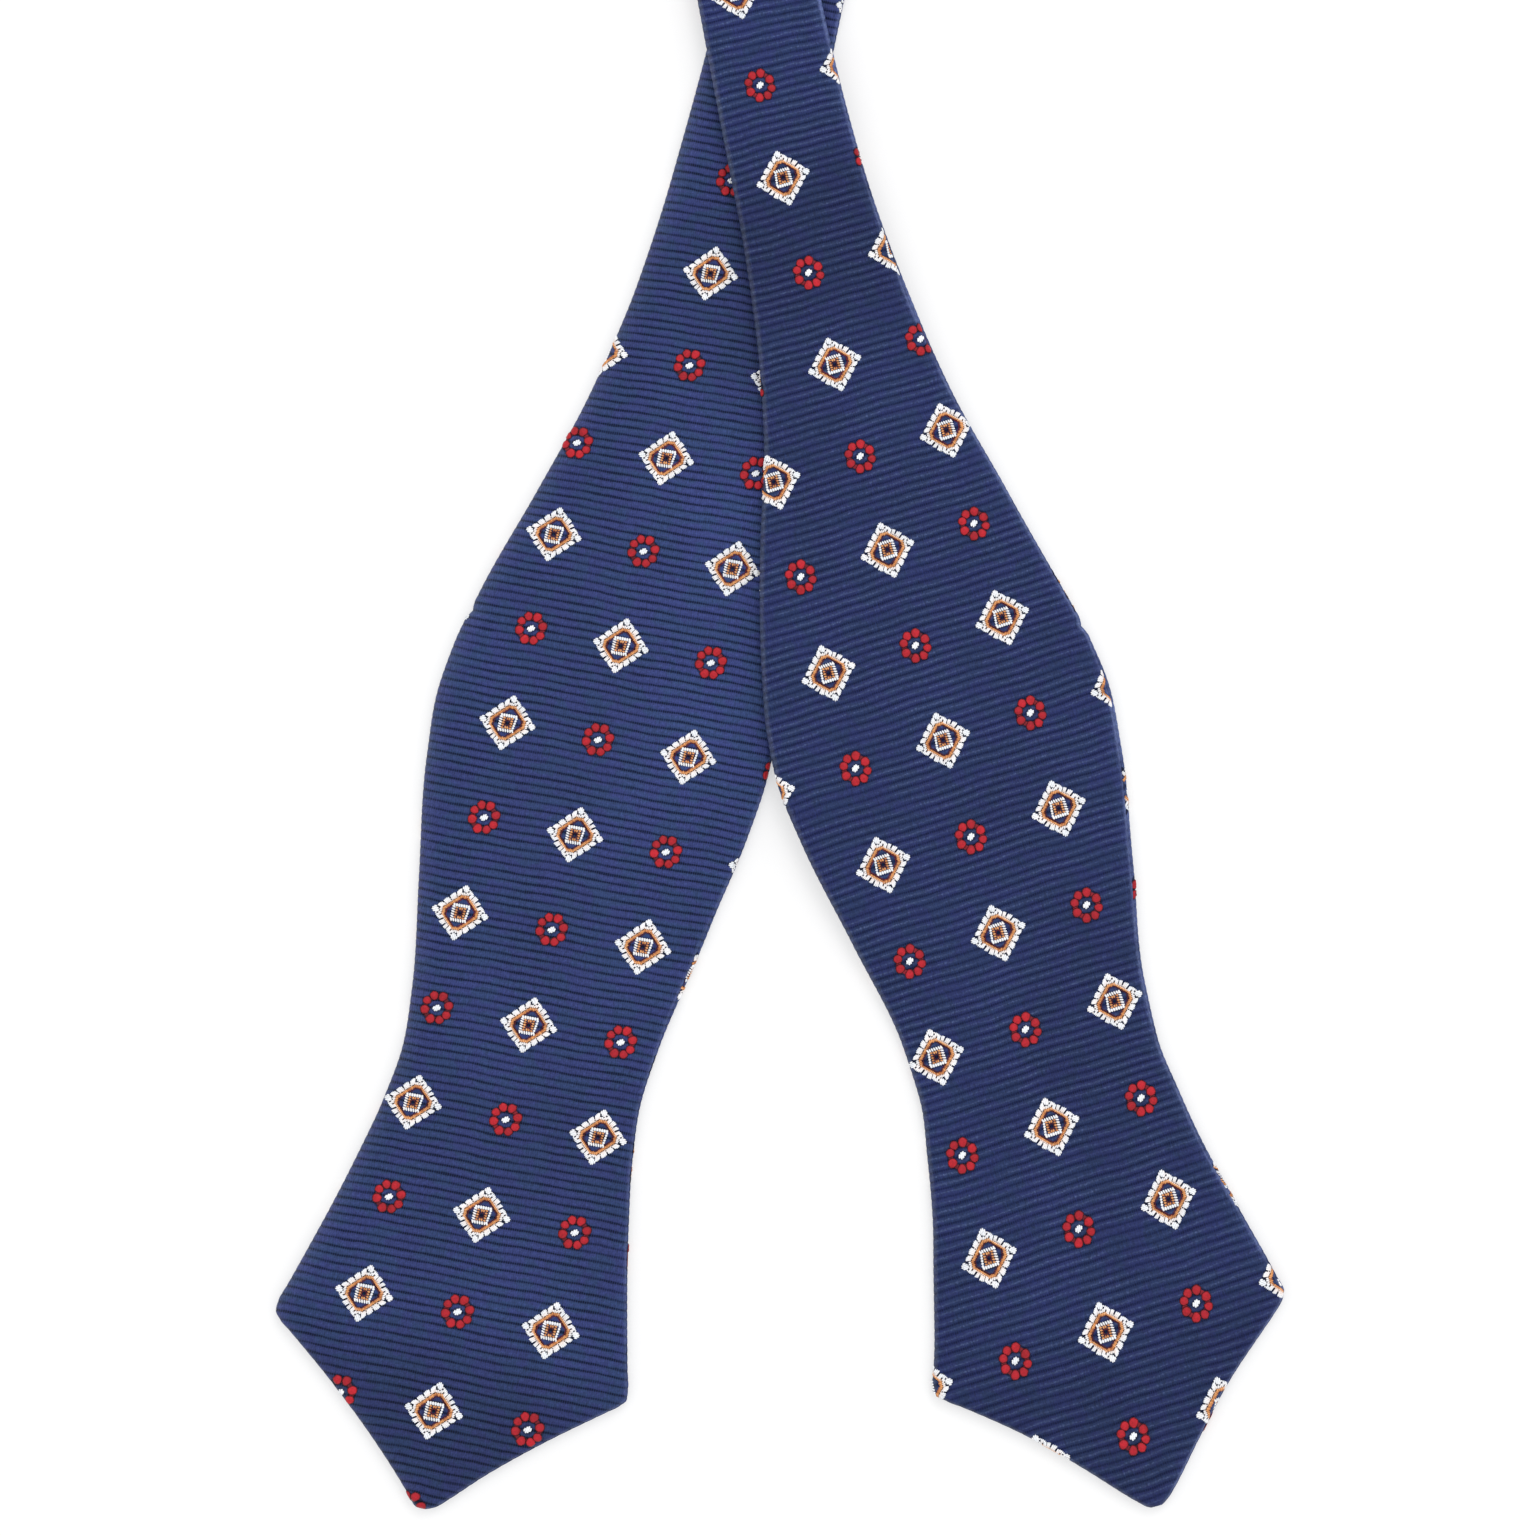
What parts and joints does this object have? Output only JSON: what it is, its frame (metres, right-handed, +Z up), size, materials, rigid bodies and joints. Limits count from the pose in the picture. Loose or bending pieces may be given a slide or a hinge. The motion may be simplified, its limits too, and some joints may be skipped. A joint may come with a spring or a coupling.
{
  "type": "self-tie bow tie",
  "caption": "Untied self-tie bow tie with diamond points, laid flat with its halves crossed and its neck band standing in a closed loop.",
  "frame": {"origin": "centre of the underside of the whole object, on the surface it lies on", "axes": "+Z up from the surface, +Y along the tie from the diamond points towards the neck loop, +X to the right seen from above with the points towards the viewer"},
  "size_m": [0.177, 0.4148, 0.0204],
  "materials": {
    "left_face_silk": "satin",
    "left_back_silk": "satin",
    "right_face_silk": "satin",
    "right_back_silk": "satin",
    "white_thread": "satin",
    "orange_thread": "satin",
    "red_thread": "satin"
  },
  "bodies": {
    "root": {"left_face_cloth": "left_face_silk", "left_back_cloth": "left_back_silk", "right_face_cloth": "right_face_silk", "right_back_cloth": "right_back_silk"}
  },
  "joints": []
}
